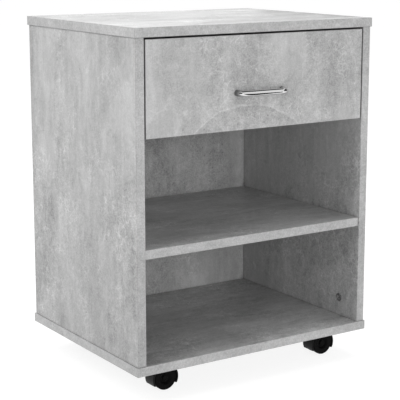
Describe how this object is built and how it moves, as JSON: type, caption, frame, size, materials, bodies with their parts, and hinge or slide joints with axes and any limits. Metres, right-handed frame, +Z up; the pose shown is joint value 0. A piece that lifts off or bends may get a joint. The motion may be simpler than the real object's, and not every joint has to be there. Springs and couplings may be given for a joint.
{
  "type": "rolling cabinet",
  "caption": "Upright rolling cabinet in concrete-look board with a drawer on roller runners above open compartments, a chrome bow handle and hooded swivel castors.",
  "frame": {"origin": "at floor level under the middle of the whole object's box, handle included", "axes": "+X to the right seen from the front, +Y to the back (the drawer opens towards -Y), +Z up"},
  "size_m": [0.46, 0.38, 0.59],
  "materials": {
    "concrete_board": "matt melamine with a cloudy light-grey concrete look",
    "drawer_board": "matt melamine with a cloudy light-grey concrete look",
    "drawer_bottom_board": "thin painted fibreboard, light grey",
    "chrome": "bright chrome plating",
    "runner_steel": "white powder coat on sheet steel",
    "nylon": "natural white nylon",
    "zinc": "zinc plating and die-cast zinc",
    "beech": "fluted beech",
    "castor_plastic": "black moulded nylon",
    "castor_steel": "zinc-plated pressed steel"
  },
  "bodies": {
    "carcase": {"top_panel": "concrete_board", "bottom_panel": "concrete_board", "left_side_panel": "concrete_board", "right_side_panel": "concrete_board", "back_panel": "concrete_board", "middle_shelf": "concrete_board", "cam_locks": "zinc", "cam_bolts": "zinc", "wood_dowels": "beech", "cabinet_runner_left": "runner_steel", "cabinet_runner_right": "runner_steel", "cabinet_roller_axles": "zinc", "cabinet_runner_screws": "zinc", "castor_kingpins": "zinc", "castor_plate_screws": "zinc", "castor_plate_front_left": "castor_steel", "castor_plate_front_right": "castor_steel", "castor_plate_rear_left": "castor_steel", "castor_plate_rear_right": "castor_steel"},
    "drawer": {"drawer_front": "concrete_board", "drawer_left_side": "drawer_board", "drawer_right_side": "drawer_board", "drawer_back": "drawer_board", "drawer_bottom": "drawer_bottom_board", "drawer_cam_locks": "zinc", "drawer_cam_bolts": "zinc", "drawer_back_screws": "zinc", "drawer_bottom_screws": "zinc", "handle": "chrome", "handle_screws": "zinc", "drawer_runner_left": "runner_steel", "drawer_runner_right": "runner_steel", "drawer_runner_screws": "zinc", "drawer_roller_axles": "zinc"},
    "cabinet_roller_left": {"cabinet_roller_left": "nylon"},
    "cabinet_roller_right": {"cabinet_roller_right": "nylon"},
    "drawer_roller_left": {"drawer_roller_left": "nylon"},
    "drawer_roller_right": {"drawer_roller_right": "nylon"},
    "castor_front_left": {"castor_hood_front_left": "castor_plastic", "castor_axle_front_left": "castor_steel"},
    "castor_wheel_front_left_front": {"castor_wheel_front_left_front": "castor_plastic"},
    "castor_wheel_front_left_back": {"castor_wheel_front_left_back": "castor_plastic"},
    "castor_front_right": {"castor_hood_front_right": "castor_plastic", "castor_axle_front_right": "castor_steel"},
    "castor_wheel_front_right_front": {"castor_wheel_front_right_front": "castor_plastic"},
    "castor_wheel_front_right_back": {"castor_wheel_front_right_back": "castor_plastic"},
    "castor_rear_left": {"castor_hood_rear_left": "castor_plastic", "castor_axle_rear_left": "castor_steel"},
    "castor_wheel_rear_left_front": {"castor_wheel_rear_left_front": "castor_plastic"},
    "castor_wheel_rear_left_back": {"castor_wheel_rear_left_back": "castor_plastic"},
    "castor_rear_right": {"castor_hood_rear_right": "castor_plastic", "castor_axle_rear_right": "castor_steel"},
    "castor_wheel_rear_right_front": {"castor_wheel_rear_right_front": "castor_plastic"},
    "castor_wheel_rear_right_back": {"castor_wheel_rear_right_back": "castor_plastic"}
  },
  "joints": [
    {"name": "drawer_slide", "type": "slide", "parent": "carcase", "child": "drawer", "axis": [0, -1, 0], "range_m": [0, 0.22]},
    {"name": "cabinet_roller_left_turn", "type": "hinge", "parent": "carcase", "child": "cabinet_roller_left", "pos_m": [-0.2066, -0.139, 0.4523], "axis": [1, 0, 0], "continuous": true},
    {"name": "cabinet_roller_right_turn", "type": "hinge", "parent": "carcase", "child": "cabinet_roller_right", "pos_m": [0.2066, -0.139, 0.4523], "axis": [1, 0, 0], "continuous": true},
    {"name": "drawer_roller_left_turn", "type": "hinge", "parent": "drawer", "child": "drawer_roller_left", "pos_m": [-0.2066, 0.135, 0.4505], "axis": [1, 0, 0], "continuous": true},
    {"name": "drawer_roller_right_turn", "type": "hinge", "parent": "drawer", "child": "drawer_roller_right", "pos_m": [0.2066, 0.135, 0.4505], "axis": [1, 0, 0], "continuous": true},
    {"name": "castor_front_left_swivel", "type": "hinge", "parent": "carcase", "child": "castor_front_left", "pos_m": [-0.1625, -0.1095, 0.048], "axis": [0, 0, 1], "continuous": true},
    {"name": "castor_wheel_front_left_front_turn", "type": "hinge", "parent": "castor_front_left", "child": "castor_wheel_front_left_front", "pos_m": [-0.1495, -0.1183, 0.02], "axis": [0, 1, 0], "continuous": true},
    {"name": "castor_wheel_front_left_back_turn", "type": "hinge", "parent": "castor_front_left", "child": "castor_wheel_front_left_back", "pos_m": [-0.1495, -0.1007, 0.02], "axis": [0, 1, 0], "continuous": true},
    {"name": "castor_front_right_swivel", "type": "hinge", "parent": "carcase", "child": "castor_front_right", "pos_m": [0.1625, -0.1095, 0.048], "axis": [0, 0, 1], "continuous": true},
    {"name": "castor_wheel_front_right_front_turn", "type": "hinge", "parent": "castor_front_right", "child": "castor_wheel_front_right_front", "pos_m": [0.1755, -0.1183, 0.02], "axis": [0, 1, 0], "continuous": true},
    {"name": "castor_wheel_front_right_back_turn", "type": "hinge", "parent": "castor_front_right", "child": "castor_wheel_front_right_back", "pos_m": [0.1755, -0.1007, 0.02], "axis": [0, 1, 0], "continuous": true},
    {"name": "castor_rear_left_swivel", "type": "hinge", "parent": "carcase", "child": "castor_rear_left", "pos_m": [-0.1625, 0.1295, 0.048], "axis": [0, 0, 1], "continuous": true},
    {"name": "castor_wheel_rear_left_front_turn", "type": "hinge", "parent": "castor_rear_left", "child": "castor_wheel_rear_left_front", "pos_m": [-0.1495, 0.1207, 0.02], "axis": [0, 1, 0], "continuous": true},
    {"name": "castor_wheel_rear_left_back_turn", "type": "hinge", "parent": "castor_rear_left", "child": "castor_wheel_rear_left_back", "pos_m": [-0.1495, 0.1383, 0.02], "axis": [0, 1, 0], "continuous": true},
    {"name": "castor_rear_right_swivel", "type": "hinge", "parent": "carcase", "child": "castor_rear_right", "pos_m": [0.1625, 0.1295, 0.048], "axis": [0, 0, 1], "continuous": true},
    {"name": "castor_wheel_rear_right_front_turn", "type": "hinge", "parent": "castor_rear_right", "child": "castor_wheel_rear_right_front", "pos_m": [0.1755, 0.1207, 0.02], "axis": [0, 1, 0], "continuous": true},
    {"name": "castor_wheel_rear_right_back_turn", "type": "hinge", "parent": "castor_rear_right", "child": "castor_wheel_rear_right_back", "pos_m": [0.1755, 0.1383, 0.02], "axis": [0, 1, 0], "continuous": true}
  ],
  "couplings": [
    {"joint": "cabinet_roller_left_turn", "follows": "drawer_slide", "rad_per_m": 125},
    {"joint": "cabinet_roller_right_turn", "follows": "drawer_slide", "rad_per_m": 125},
    {"joint": "drawer_roller_left_turn", "follows": "drawer_slide", "rad_per_m": 125},
    {"joint": "drawer_roller_right_turn", "follows": "drawer_slide", "rad_per_m": 125}
  ]
}
